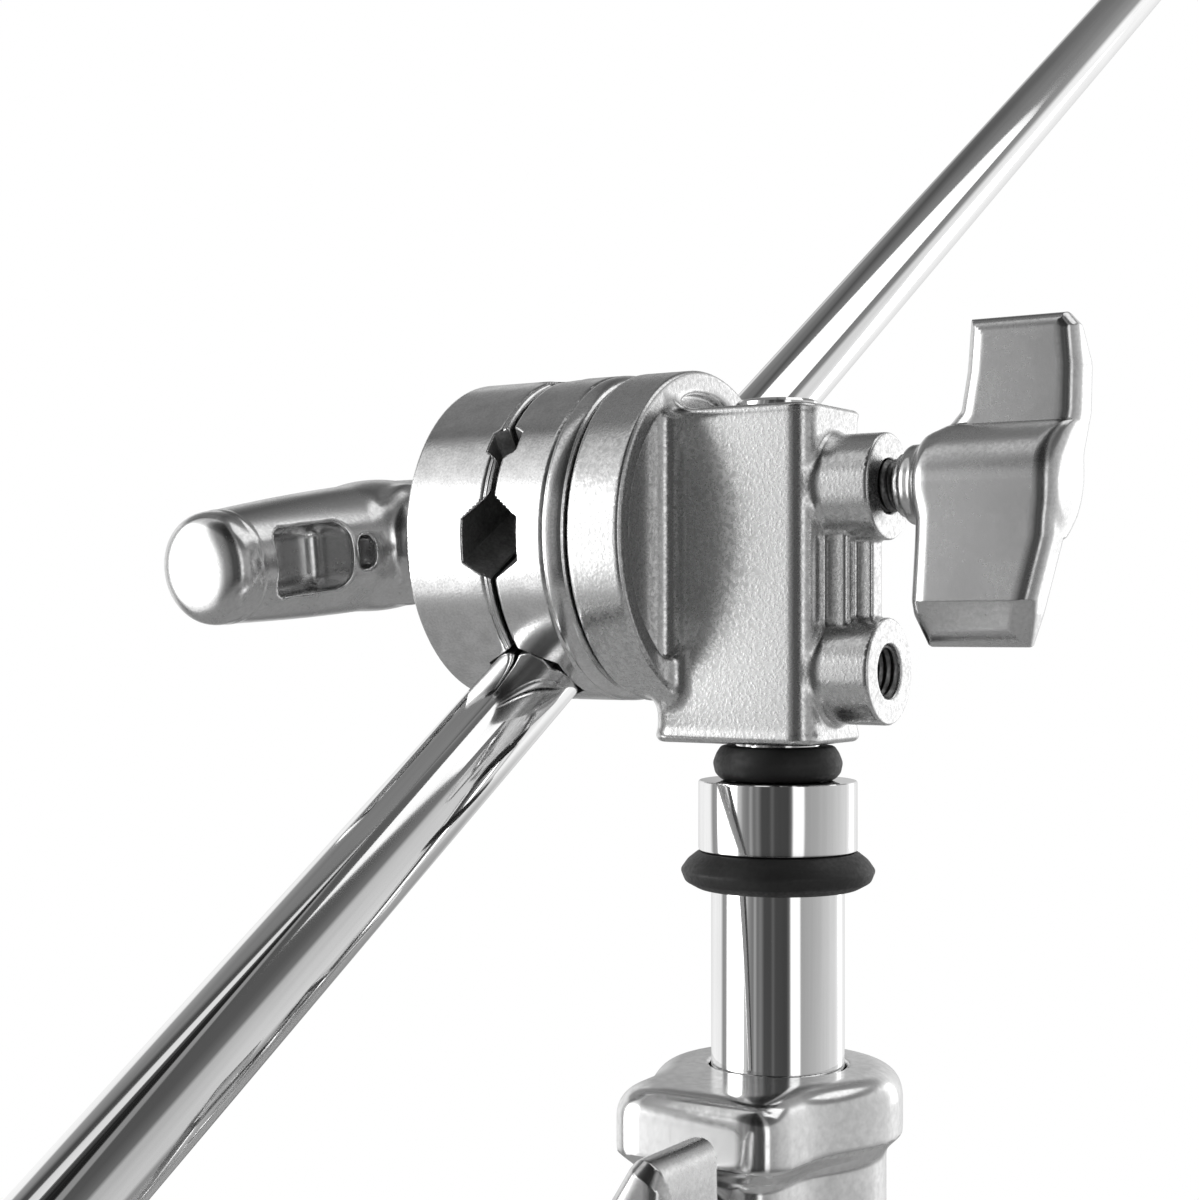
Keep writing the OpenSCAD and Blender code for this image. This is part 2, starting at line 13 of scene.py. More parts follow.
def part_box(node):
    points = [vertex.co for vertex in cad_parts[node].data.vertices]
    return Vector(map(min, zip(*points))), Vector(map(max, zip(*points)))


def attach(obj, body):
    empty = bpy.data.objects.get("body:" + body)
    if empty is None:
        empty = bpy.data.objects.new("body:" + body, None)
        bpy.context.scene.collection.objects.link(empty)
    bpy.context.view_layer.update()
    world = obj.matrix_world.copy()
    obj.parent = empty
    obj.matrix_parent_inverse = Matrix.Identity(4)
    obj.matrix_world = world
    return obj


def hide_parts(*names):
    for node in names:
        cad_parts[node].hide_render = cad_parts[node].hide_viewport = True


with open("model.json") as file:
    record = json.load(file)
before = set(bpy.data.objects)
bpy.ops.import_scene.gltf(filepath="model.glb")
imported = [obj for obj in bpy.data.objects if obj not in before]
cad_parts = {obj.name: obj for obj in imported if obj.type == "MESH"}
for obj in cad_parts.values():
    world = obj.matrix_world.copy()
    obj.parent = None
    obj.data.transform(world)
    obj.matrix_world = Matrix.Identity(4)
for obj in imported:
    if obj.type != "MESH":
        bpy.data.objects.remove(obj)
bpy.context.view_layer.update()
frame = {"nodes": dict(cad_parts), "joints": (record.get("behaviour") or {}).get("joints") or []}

MM = 0.001
JOINTS = {j["name"]: j for j in frame["joints"]}


def centre(node):
    """Middle of a CAD node's box, in millimetres."""
    low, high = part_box(node)
    return (low + high) / (2 * MM)


def low(node):
    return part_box(node)[0] / MM


def high(node):
    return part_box(node)[1] / MM


# ---- Places taken from the frame, in millimetres ----
HEAD_Z = centre("head_inner_plate").z
PLATE_R = (high("head_inner_plate").z - low("head_inner_plate").z) / 2
DISC_FRONT = low("head_inner_plate").y - 1.0
DISC_BACK = DISC_FRONT - 11.4
INNER_BACK = low("head_inner_plate").y
INNER_FRONT = high("head_inner_plate").y
OUTER_BACK = low("head_outer_plate").y
OUTER_FRONT = high("head_outer_plate").y
SEAM = (INNER_FRONT + OUTER_BACK) / 2
ARM_DIR = Vector(JOINTS["arm_slide"]["axis"])
ARM_ANGLE = math.atan2(ARM_DIR.z, ARM_DIR.x)
ARM_R = 7.95
ARM_OFFSET = 14.7
ARM_TAIL = 290.0
ARM_END = 726.0
ARM_HEAD_X = ARM_END + 46.0
ARM_HEAD_RISE = 39.2
COLUMN_R = 17.5
RISER_1_R = 15.0
RISER_2_R = 12.5
STUD_R = 7.94
TUBE_WALL = 1.5
CLAMP_DROOP = math.radians(7)
LOCK_TURN = math.radians(-30)

HEAD = (Matrix.Translation((0, 0, HEAD_Z)) @ Matrix.Rotation(-ARM_ANGLE, 4, "Y")
        @ Matrix.Rotation(-math.pi / 2, 4, "X"))
ARM_HEAD = (HEAD @ Matrix.Translation((ARM_HEAD_X, ARM_OFFSET, ARM_HEAD_RISE))
            @ Matrix.Rotation(ARM_ANGLE - math.pi / 2, 4, "Z"))


# ---- Node graph helpers ----
def new_material(name):
    m = bpy.data.materials.new(name)
    m.use_nodes = True
    return m, m.node_tree.nodes, m.node_tree.links, m.node_tree.nodes["Principled BSDF"]


def noise(nodes, links, coords, scale, detail=4.0, stretch=(1, 1, 1)):
    """A noise texture on object coordinates; scale is in features per metre."""
    mapping = nodes.new("ShaderNodeMapping")
    mapping.inputs["Scale"].default_value = stretch
    links.new(coords, mapping.inputs["Vector"])
    tex = nodes.new("ShaderNodeTexNoise")
    tex.inputs["Scale"].default_value = scale
    tex.inputs["Detail"].default_value = detail
    links.new(mapping.outputs["Vector"], tex.inputs["Vector"])
    return tex.outputs["Fac"]


def remap(nodes, links, value, a, b, lo=0.3, hi=0.7):
    node = nodes.new("ShaderNodeMapRange")
    node.inputs["From Min"].default_value = lo
    node.inputs["From Max"].default_value = hi
    node.inputs["To Min"].default_value = a
    node.inputs["To Max"].default_value = b
    links.new(value, node.inputs["Value"])
    return node.outputs["Result"]


def tint(nodes, links, value, dark, light, lo=0.3, hi=0.7):
    ramp = nodes.new("ShaderNodeValToRGB")
    ramp.color_ramp.elements[0].position = lo
    ramp.color_ramp.elements[1].position = hi
    ramp.color_ramp.elements[0].color = (*dark, 1)
    ramp.color_ramp.elements[1].color = (*light, 1)
    links.new(value, ramp.inputs["Fac"])
    return ramp.outputs["Color"]


def bump(nodes, links, height, distance, strength=1.0, under=None):
    node = nodes.new("ShaderNodeBump")
    node.inputs["Distance"].default_value = distance
    node.inputs["Strength"].default_value = strength
    links.new(height, node.inputs["Height"])
    if under is not None:
        links.new(under, node.inputs["Normal"])
    return node.outputs["Normal"]


def object_coords(nodes):
    return nodes.new("ShaderNodeTexCoord").outputs["Object"]


def metal(name, dark, light, rough_lo, rough_hi, blotch=60.0, grain=2500.0, grain_depth=0.00001,
          grain_strength=0.4, stretch=(1, 1, 1)):
    """Metal with large faint blotches, a fine grain and roughness that follows both."""
    m, nodes, links, bsdf = new_material(name)
    coords = object_coords(nodes)
    big = noise(nodes, links, coords, blotch, 5.0)
    fine = noise(nodes, links, coords, grain, 3.0, stretch)
    mix = nodes.new("ShaderNodeMath")
    mix.operation = "MULTIPLY_ADD"
    mix.inputs[1].default_value = 0.5
    links.new(fine, mix.inputs[0])
    half = nodes.new("ShaderNodeMath")
    half.operation = "MULTIPLY"
    half.inputs[1].default_value = 0.5
    links.new(big, half.inputs[0])
    links.new(half.outputs["Value"], mix.inputs[2])
    links.new(tint(nodes, links, mix.outputs["Value"], dark, light, 0.38, 0.62), bsdf.inputs["Base Color"])
    links.new(remap(nodes, links, mix.outputs["Value"], rough_hi, rough_lo, 0.38, 0.62),
              bsdf.inputs["Roughness"])
    links.new(bump(nodes, links, fine, grain_depth, grain_strength), bsdf.inputs["Normal"])
    bsdf.inputs["Metallic"].default_value = 1.0
    return m


def grey(v, warm=0.0):
    return (v * (1 + warm), v, v * (1 - warm))


CHROME = metal("chrome", grey(0.80), grey(0.90), 0.035, 0.085, 25, 900, 0.000004, 0.25, (1, 1, 0.02))
POLISHED = metal("polished_casting", grey(0.70), grey(0.84), 0.14, 0.24, 45, 700, 0.00002, 0.3)
CASTING = metal("satin_casting", grey(0.56), grey(0.76), 0.20, 0.33, 900, 1700, 0.00006, 0.5)
HANDLE = metal("handle_casting", grey(0.56), grey(0.68), 0.20, 0.28, 90, 1400, 0.00002, 0.3)
MACHINED = metal("machined_aluminium", grey(0.60), grey(0.80), 0.17, 0.27, 300, 2200, 0.00004, 0.4)
# Darker tone is painted shade for the deep jaw channels; the higher roughness is their rougher finish.
ROUGH_CHANNEL_SHADE = metal("rough_channel_painted_shade", grey(0.26), grey(0.44), 0.40, 0.55, 300, 1800, 0.00006, 0.6)
DARK_STEEL = metal("dark_steel", grey(0.10), grey(0.22), 0.30, 0.45, 120, 1800, 0.00002, 0.5)
ZINC = metal("zinc_steel", grey(0.48), grey(0.62), 0.28, 0.4, 90, 1500, 0.00002, 0.4)
BRASS = metal("brass", (0.55, 0.42, 0.20), (0.72, 0.56, 0.28), 0.25, 0.4, 90, 1500, 0.00002, 0.4)


def soft_material(name, dark, light, rough_lo, rough_hi, grain, depth):
    """Rubber or plastic: no metal, with a moulded grain."""
    m, nodes, links, bsdf = new_material(name)
    coords = object_coords(nodes)
    big = noise(nodes, links, coords, 90, 5.0)
    fine = noise(nodes, links, coords, grain, 4.0)
    links.new(tint(nodes, links, big, dark, light), bsdf.inputs["Base Color"])
    links.new(remap(nodes, links, fine, rough_lo, rough_hi), bsdf.inputs["Roughness"])
    links.new(bump(nodes, links, fine, depth, 0.6), bsdf.inputs["Normal"])
    return m


RUBBER = soft_material("black_rubber", grey(0.010), grey(0.028), 0.42, 0.62, 1400, 0.00006)
NYLON = soft_material("nylon", (0.62, 0.60, 0.54), (0.72, 0.70, 0.63), 0.40, 0.55, 900, 0.00004)


# ---- Mesh helpers ----
def make(name, verts, faces, material, body, replaces=(), matrix=None, normals=None):
    """A piece from millimetre points in a local frame that matrix places in the row frame."""
    mesh = bpy.data.meshes.new(name)
    mesh.from_pydata([tuple(v) for v in np.asarray(verts, float) * MM], [], [tuple(f) for f in faces])
    mesh.validate()
    mesh.materials.append(material)
    mesh.shade_smooth()
    if normals is not None and len(mesh.vertices) == len(normals):
        mesh.normals_split_custom_set_from_vertices([tuple(n) for n in normals])
    return place(bpy.data.objects.new(name, mesh), body, replaces, matrix)


def place(obj, body, replaces=(), matrix=None):
    bpy.context.scene.collection.objects.link(obj)
    if matrix is not None:
        placed = matrix.copy()
        placed.translation = placed.translation * MM
        obj.matrix_world = placed
    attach(obj, body)
    if replaces:
        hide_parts(*replaces)
    return obj


def bevelled(profile, size, steps=3):
    """A closed outline of (radius, height) points with each corner cut by a small round."""
    out = []
    count = len(profile)
    for i, point in enumerate(profile):
        p = np.array(point[:2], float)
        r = point[2] if len(point) > 2 else size
        a = np.array(profile[i - 1][:2], float) - p
        b = np.array(profile[(i + 1) % count][:2], float) - p
        la, lb = np.linalg.norm(a), np.linalg.norm(b)
        cut = min(r, 0.45 * la, 0.45 * lb)
        if cut < 1e-4:
            out.append(p)
            continue
        start, stop = p + a / la * cut, p + b / lb * cut
        for k in range(steps + 1):
            t = k / steps
            out.append((1 - t) ** 2 * start + 2 * t * (1 - t) * p + t * t * stop)
    return out


def lathe(name, profile, material, body, replaces=(), matrix=None, size=0.3, sides=128):
    """A turned piece: a closed outline of (radius, height[, corner round]) points about the local z axis."""
    ring = bevelled(profile, size)
    n = len(ring)
    verts, faces = [], []
    for i in range(sides):
        a = 2 * math.pi * i / sides
        verts += [(r * math.cos(a), r * math.sin(a), z) for r, z in ring]
    for i in range(sides):
        j = (i + 1) % sides
        for k in range(n):
            m = (k + 1) % n
            faces.append((i * n + k, j * n + k, j * n + m, i * n + m))
    obj = make(name, verts, faces, material, body, replaces, matrix)
    sharpen(obj)
    return obj


def sharpen(obj, angle=28):
    obj.data.set_sharp_from_angle(angle=math.radians(angle))
    return obj


def rod(name, r, z0, z1, material, body, replaces=(), matrix=None, bore=0.0, size=0.4, sides=128):
    inner = max(bore, 0.02)
    return lathe(name, [(inner, z0), (r, z0), (r, z1), (inner, z1)], material, body, replaces, matrix,
                 size, sides)


def thread(name, r, pitch, z0, z1, material, body, replaces=(), matrix=None, depth=0.55,
           inside=False,
           sides=48, per_pitch=8):
    """A screw thread: a tube whose radius follows a V along a helix. Inside gives a tapped hole's wall."""
    rows = int(round((z1 - z0) / pitch * per_pitch)) + 1
    verts, faces = [], []
    for k in range(rows):
        z = z0 + (z1 - z0) * k / (rows - 1)
        fade = min(1.0, (z - z0) / pitch, (z1 - z) / pitch)
        for i in range(sides):
            a = 2 * math.pi * i / sides
            phase = (z / pitch - i / sides) % 1.0
            groove = depth * (1 - abs(2 * phase - 1)) * (fade if not inside else 1)
            rad = r - groove
            verts.append((rad * math.cos(a), rad * math.sin(a), z))
    for k in range(rows - 1):
        for i in range(sides):
            j = (i + 1) % sides
            quad = (k * sides + i, k * sides + j, (k + 1) * sides + j, (k + 1) * sides + i)
            faces.append(quad if not inside else quad[::-1])
    if inside:
        outer = len(verts)
        for z in (z0, z1):
            verts += [((r + 0.05) * math.cos(2 * math.pi * i / sides),
                       (r + 0.05) * math.sin(2 * math.pi * i / sides), z) for i in range(sides)]
        top = (rows - 1) * sides
        for i in range(sides):
            j = (i + 1) % sides
            faces.append((outer + i, outer + j, outer + sides + j, outer + sides + i))
            faces.append((i, j, outer + j, outer + i))
            faces.append((top + i, outer + sides + i, outer + sides + j, top + j))
    else:
        faces.append(tuple(reversed(range(sides))))
        faces.append(tuple(range((rows - 1) * sides, rows * sides)))
    return make(name, verts, faces, material, body, replaces, matrix)


# ---- Distance fields, for cast shapes ----
def smin(a, b, k):
    h = np.clip(0.5 + 0.5 * (b - a) / k, 0, 1)
    return b + (a - b) * h - k * h * (1 - h)


def smax(a, b, k):
    return -smin(-a, -b, k)


def slab(v, a, b):
    return np.maximum(a - v, v - b)


def box_field(x, y, z, c, h, r=0.5):
    qx, qy, qz = (np.abs(v - c[i]) - h[i] + r for i, v in enumerate((x, y, z)))
    outside = np.sqrt(np.maximum(qx, 0) ** 2 + np.maximum(qy, 0) ** 2 + np.maximum(qz, 0) ** 2)
    return outside + np.minimum(np.maximum(qx, np.maximum(qy, qz)), 0) - r


def rounded(radial, axial, r):
    """Joins a radial and an axial distance into a solid of revolution with a rounded rim."""
    a, b = radial + r, axial + r
    return np.minimum(np.maximum(a, b), 0) + np.hypot(np.maximum(a, 0), np.maximum(b, 0)) - r


def cyl_field(u, v, w, r, w0, w1, edge=0.4):
    """A cylinder along w about (u, v) = 0."""
    mid, half = (w0 + w1) / 2, (w1 - w0) / 2
    return rounded(np.hypot(u, v) - r, np.abs(w - mid) - half, edge)


def outline_field(u, v, points):
    """Signed distance to a closed outline."""
    d = np.full(u.shape, 1e9)
    s = np.ones(u.shape)
    for i, (bx, by) in enumerate(points):
        ax, ay = points[i - 1]
        ex, ey = ax - bx, ay - by
        wx, wy = u - bx, v - by
        t = np.clip((wx * ex + wy * ey) / (ex * ex + ey * ey), 0, 1)
        d = np.minimum(d, (wx - ex * t) ** 2 + (wy - ey * t) ** 2)
        c1, c2, c3 = v >= by, v < ay, ex * wy > ey * wx
        s = np.where((c1 & c2 & c3) | (~c1 & ~c2 & ~c3), -s, s)
    return s * np.sqrt(d)


def net(field, lo, hi, step):
    """Surface net of a distance field: a closed quad mesh drawn onto the zero surface, and its normals."""
    axes = [np.arange(a, b + step, step) for a, b in zip(lo, hi)]
    grid = np.meshgrid(*axes, indexing="ij")
    value = field(*grid)
    inside = value < 0
    cells = tuple(n - 1 for n in value.shape)
    total = np.zeros(cells + (3,))
    count = np.zeros(cells)
    crossings = []
    for d in range(3):
        first = tuple(slice(0, -1) if k == d else slice(None) for k in range(3))
        second = tuple(slice(1, None) if k == d else slice(None) for k in range(3))
        a, b = value[first], value[second]
        cross = inside[first] != inside[second]
        crossings.append((cross, inside[first]))
        t = np.where(cross, a / np.where(cross, a - b, 1), 0)
        others = [k for k in range(3) if k != d]
        for m in (0, 1):
            for n in (0, 1):
                part = [slice(None)] * 3
                part[others[0]] = slice(m, m + cells[others[0]])
                part[others[1]] = slice(n, n + cells[others[1]])
                part = tuple(part)
                c = cross[part]
                offset = np.zeros(cells + (3,))
                offset[..., d] = t[part]
                offset[..., others[0]] = m
                offset[..., others[1]] = n
                total += offset * c[..., None]
                count += c
    active = count > 0
    index = np.full(cells, -1)
    index[active] = np.arange(active.sum())
    where = np.argwhere(active)
    verts = (where + total[active] / count[active][:, None]) * step + np.array([a[0] for a in axes])
    faces = []
    for d, (cross, start_in) in enumerate(crossings):
        e, f = (d + 1) % 3, (d + 2) % 3
        at = np.argwhere(cross)
        keep = (at[:, e] > 0) & (at[:, f] > 0) & (at[:, e] < cells[e]) & (at[:, f] < cells[f])
        at = at[keep]
        corners = []
        for m, n in ((1, 1), (0, 1), (0, 0), (1, 0)):
            c = at.copy()
            c[:, e] -= m
            c[:, f] -= n
            corners.append(index[c[:, 0], c[:, 1], c[:, 2]])
        quads = np.stack(corners, 1)
        out = start_in[at[:, 0], at[:, 1], at[:, 2]]
        faces.append(np.where(out[:, None], quads, quads[:, ::-1]))
    faces = np.concatenate(faces)
    faces = faces[(faces >= 0).all(1)]
    normals = None
    for _ in range(4):
        dist, normals = slope(field, verts)
        move = np.clip(dist, -0.6 * step, 0.6 * step)
        verts = verts - normals * move[:, None]
    return verts, faces, slope(field, verts)[1]


def slope(field, verts, eps=0.06):
    x, y, z = verts.T
    g = np.stack([field(x + eps, y, z) - field(x - eps, y, z),
                  field(x, y + eps, z) - field(x, y - eps, z),
                  field(x, y, z + eps) - field(x, y, z - eps)], 1) / (2 * eps)
    size = np.linalg.norm(g, axis=1) + 1e-9
    return field(x, y, z) / size, g / size[:, None]


def cast(name, field, lo, hi, step, material, body, replaces=(), matrix=None):
    verts, faces, normals = net(field, lo, hi, step)
    return make(name, verts, faces, material, body, replaces, matrix, normals)


def copy_piece(source, name, body, replaces, matrix):
    return place(bpy.data.objects.new(name, source.data), body, replaces, matrix)


# ---- T-handle of the screws ----
WING = [(-29.3, 6.0), (-23.5, 4.4), (-10, 5.2), (0, 5.5), (8, 6.5), (13, 11), (20, 12.2), (29.3, 12.9),
        (29.3, 30.8),
        (27, 32.6), (20, 33.2), (12, 33), (4, 31.5), (-10, 30.6), (-23.5, 27), (-29.3, 25)]
SCREW_IN = 24.0


def t_handle_field(x, y, z):
    """Propeller-shaped handle: z along the screw away from its collar, wings along x, offset in y."""
    profile = outline_field(x, z, WING)
    far = np.where(x > 0, y, -y)
    step = 1.8 + 7.2 * np.clip(1 - np.abs(x) / 10.4, 0, 1) ** 0.5
    near = np.where(np.abs(x) < 10.4, step, 1.8)
    bevel = 0.55 * np.maximum(np.abs(x) - 21, 0)
    wing = smax(profile, smax(far - near, -far - 9.0 + bevel, 1.6), 3.6)
    hub = cyl_field(x, y, z, 9.2, 4.5, 31, 3.0)
    collar = cyl_field(x, y, z, 7.3, 1.6, 7, 1.2)
    tip = cyl_field(x, y, z, 5.9, 0.0, 3, 0.8)
    body = smin(smin(wing, hub, 1.6), smin(collar, tip, 0.6), 0.9)
    bore = np.maximum(np.hypot(x, y) - 5.0, slab(z, -5, SCREW_IN))
    return smax(body, -bore, 0.3)


RECEIVER_COLLAR = high("receiver_handle").y
SCREW_Z = (low("receiver_screw").z + high("receiver_screw").z) / 2
RECEIVER = (Matrix.Translation((0, RECEIVER_COLLAR, SCREW_Z)) @ Matrix.Rotation(-math.pi / 2, 4, "Y")
            @ Matrix.Rotation(math.pi / 2, 4, "X"))
t_handle = cast("receiver_handle_casting", t_handle_field, (-31, -14, -1), (31, 14, 35), 0.55, HANDLE,
                "receiver_lock",
                ["receiver_handle"], RECEIVER)
for lock in ("column_lock", "riser_1_lock"):
    at = Matrix.Translation((high(lock + "_handle").x, 0, centre(lock + "_screw").z))
    copy_piece(t_handle, lock + "_handle_casting", lock, [lock + "_handle"],
               at @ Matrix.Rotation(-math.pi / 2, 4, "Y") @ Matrix.Rotation(LOCK_TURN, 4, "Z"))


# ---- Clamp handle of the jaws ----
CLAMP_WING_Z = 31.0
CLAMP_WING_L = 54.3
KNOB_L = 7.2
KNOB_R = 11.1


def clamp_handle_field(x, y, z):
    """Bar handle: z along the bolt, wings along x, each with a domed end and two pockets facing the jaws."""
    ax = np.abs(x)
    w = z - CLAMP_WING_Z
    half = 10.5 + 2.8 * (1 - np.clip(ax / CLAMP_WING_L, 0, 1) ** 1.8)
    bar = rounded(np.hypot(y, w) - half, ax - CLAMP_WING_L + 6, 0.8)
    along = (ax - CLAMP_WING_L + KNOB_L) / KNOB_L
    knob = (np.sqrt(np.sqrt(along ** 4 + (y * y + w * w) ** 2 / KNOB_R ** 4)) - 1) * 8.0
    knob = smax(knob, CLAMP_WING_L - 7.6 - ax, 0.8)
    bar = smin(bar, knob, 0.5)
    hub = cyl_field(x, y, z, 12.4, 19, 42.5, 2.5)
    neck = cyl_field(x, y, z, 8.6 + 2.5 * np.clip((z - 6) / 14, 0, 1), 0, 22, 0.8)
    body = smin(smin(bar, hub, 4), neck, 3)
    cutter_z = z - CLAMP_WING_Z + 12.5
    big = box_field(ax, y, cutter_z, (32.6, 0, 0), (10.4, 6.6, 10.5), 3.4)
    small = box_field(ax, y, cutter_z, (17.6, 0, 0), (2.4, 3.2, 6.0), 1.8)
    body = smax(body, -big, 1.1)
    body = smax(body, -small, 1.1)
    bore = np.maximum(np.hypot(x, y) - 4.1, slab(z, -5, 28))
    return smax(body, -bore, 0.4)


CLAMP_START = low("head_clamp_handle").y
clamp_turned = HEAD @ Matrix.Rotation(ARM_ANGLE - CLAMP_DROOP, 4,
                                      "Z") @ Matrix.Translation((0, 0, CLAMP_START))
clamp = cast("head_clamp_handle_casting", clamp_handle_field, (-56, -15, -1), (56, 15, 46), 0.6, HANDLE,
             "jaw_clamp",
             ["head_clamp_handle"], clamp_turned)
copy_piece(clamp, "arm_clamp_handle_casting", "arm_jaw_clamp", ["arm_clamp_handle"],
           ARM_HEAD @ Matrix.Translation((0, 0, CLAMP_START)))

# ---- Grip head body ----
BODY_X = 12.0
BODY_BACK = -12.2
BODY_LOW = -39.0
BODY_HIGH = 23.5
FOOT_Y = 20.8
BOSS_R = 9.85
BOSS_END = -22.96
BOSS_Z = (8.3, -25.5)
WEB_Y = -20.5
RIM = 4.5
BOLT_BORE_R = 4.05
RECESS = 2.4
THREAD_PITCH = 1.5
THREAD_R = 4.9


def disc_field(x, y, z):
    """Back disc about the y axis: a turned rim with a rounded lip and a recessed back face."""
    radial = np.hypot(x, z)
    disc = rounded(radial - PLATE_R, np.abs(y - (DISC_BACK + DISC_FRONT) / 2) - (DISC_FRONT - DISC_BACK) / 2,
                   0.9)
    recess = rounded(radial - PLATE_R + RIM, slab(y, DISC_BACK - 6, DISC_BACK + RECESS), 0.6)
    return smax(disc, -recess, 1.3)


def head_body_field(x, y, z):
    plan = box_field(x, y, 0 * z, (0, (BODY_BACK + FOOT_Y) / 2, 0), (BODY_X, (FOOT_Y - BODY_BACK) / 2, 50),
                     4.0)
    low_bead = 0.35 * np.exp(-((z - BODY_LOW - 1.2) / 1.0) ** 2)
    high_bead = 0.3 * np.exp(-((z - BODY_HIGH + 0.9) / 0.8) ** 2)
    block = smax(plan - (low_bead + high_bead), slab(z, BODY_LOW, BODY_HIGH), 1.2)
    for level in BOSS_Z:
        boss = cyl_field(x, z - level, -y, BOSS_R, 4, -BOSS_END, 0.5)
        block = smin(block, boss, 1.6)
    web = box_field(x, y, z, (0, WEB_Y / 2, -8.6), (2.2, -WEB_Y / 2, 17), 0.6)
    root = box_field(x, y, z, (0, -8.5, -8.6), (5.4, 8.5, 17), 1.0)
    block = smin(smin(block, root, 1.0), web, 0.9)
    body = smin(block, disc_field(x, y, z), 4.2)
    stud_bore = np.hypot(x, y) - STUD_R - 0.06
    body = smax(body, -stud_bore, 0.6)
    for level in BOSS_Z:
        bore = np.maximum(np.hypot(x, z - level) - 5.0, slab(y, BOSS_END - 5, 0))
        body = smax(body, -bore, 0.5)
    bolt = np.maximum(np.hypot(x, z) - BOLT_BORE_R, slab(y, 0, 40))
    return smax(body, -bolt, 0.5)


AT_HEAD = Matrix.Translation((0, 0, HEAD_Z))
cast("head_body_casting", head_body_field, (-33, -24, -40), (33, 28, 33), 0.55, CASTING, "head",
     ["head_body"],
     AT_HEAD)
thread("receiver_lower_thread", 4.98, THREAD_PITCH, 8.4, -BOSS_END - 0.7, DARK_STEEL, "head", (),
       AT_HEAD @ Matrix.Translation((0, 0, BOSS_Z[1])) @ Matrix.Rotation(math.pi / 2, 4, "X"), 0.75,
       inside=True)
thread("receiver_screw_thread", THREAD_R, THREAD_PITCH, -high("receiver_screw").y, -low("receiver_screw").y,
       DARK_STEEL,
       "receiver_lock",
       ["receiver_screw"],
       Matrix.Translation((0, 0, SCREW_Z)) @ Matrix.Rotation(math.pi / 2, 4, "X"), 0.6)

# ---- Jaw plates ----
CHANNELS_X = ((ARM_OFFSET, 8.0), (-15.6, 6.1))
CHANNELS_Y = ((-13.0, 3.2), (13.0, 4.85))
COS30 = math.cos(math.radians(30))


def hexagon(across, depth, flat):
    """Distance to a hexagonal channel: across is in the seam plane, depth is along the bolt."""
    a, d = np.abs(across), np.abs(depth)
    return np.maximum(d, a * COS30 + d * 0.5) - flat


def plate_field(z0, z1, shoulder, drop):
    def field(x, y, z):
        radial = np.hypot(x, y)
        t = np.clip(1 - (z - z0) / shoulder, 0, 1)
        bead = 0.25 * np.exp(-((z - z0 - shoulder - 0.4) / 0.3) ** 2)
        turned = drop * (1 - np.sqrt(1 - 0.98 * t * t)) + bead
        plate = rounded(radial - PLATE_R + turned, np.abs(z - (z0 + z1) / 2) - (z1 - z0) / 2, 0.6)
        for offset, flat in CHANNELS_X:
            plate = smax(plate, -hexagon(y - offset, z - SEAM, flat), 0.35)
        for offset, flat in CHANNELS_Y:
            plate = smax(plate, -hexagon(x - offset, z - SEAM, flat), 0.35)
        pocket = np.maximum(radial - 6.3, np.abs(z - SEAM) - 7.6)
        bore = radial - 4.06
        return smax(smax(plate, -pocket, 0.4), -bore, 0.4)
    return field


plates = {}
for part, z0, z1, shoulder, drop in (("inner", INNER_BACK, INNER_FRONT, 3.8, 1.3),
                                     ("outer", OUTER_BACK, OUTER_FRONT, 0.8, 0.5)):
    r = PLATE_R + 1
    jaw = cast(f"head_{part}_jaw", plate_field(z0, z1, shoulder, drop), (-r, -r, z0 - 1), (r, r, z1 + 1),
               0.42, MACHINED,
               "jaw_" + part, [f"head_{part}_plate"], HEAD)
    # Faces on the channel walls get the darker material: painted shade inside the channels.
    jaw.data.materials.append(ROUGH_CHANNEL_SHADE)
    for face in jaw.data.polygons:
        p = face.center / MM
        walls = [hexagon(p.y - offset, p.z - SEAM, flat) for offset, flat in CHANNELS_X]
        walls += [hexagon(p.x - offset, p.z - SEAM, flat) for offset, flat in CHANNELS_Y]
        if min(walls) < 0.05 and abs(p.z - SEAM) > 0.7:
            face.material_index = 1
    plates[part] = jaw
    copy_piece(plates[part], f"arm_{part}_jaw", "arm_jaw_" + part, [f"arm_{part}_plate"],
               ARM_HEAD)

# ---- Bolts and washers of both jaws ----
for prefix, at, fixed, outer in (("head", HEAD, "head", "jaw_outer"),
                                 ("arm", ARM_HEAD, "arm", "arm_jaw_outer")):
    bolt_node = "head_bolt" if prefix == "head" else "arm_head_bolt"
    lathe(prefix + "_bolt_shank", [(0.02, 11.2), (7.5, 11.2, 0.8), (7.5, 15.2), (3.95, 15.2), (3.95, 92),
                                   (0.02, 92)],
          ZINC, fixed, [bolt_node], at, 0.4, 48)
    lathe(prefix + "_friction_disc", [(4.1, DISC_FRONT), (22, DISC_FRONT), (22, DISC_FRONT + 0.9),
                                      (4.1, DISC_FRONT + 0.9)],
          BRASS, fixed, [prefix + "_friction_washer"], at, 0.15)
    lathe(prefix + "_thrust_disc", [(4.1, OUTER_FRONT), (12, OUTER_FRONT), (12, OUTER_FRONT + 2),
                                    (4.1, OUTER_FRONT + 2)],
          ZINC, outer, [prefix + "_thrust_washer"], at, 0.5, 96)
    lathe(prefix + "_thrust_bead", [(12.02, OUTER_FRONT + 0.4), (13.2, OUTER_FRONT + 0.6),
                                    (13.2, OUTER_FRONT + 1.4),
                                    (12.02, OUTER_FRONT + 1.6)], ZINC, outer, (), at, 0.4, 96)

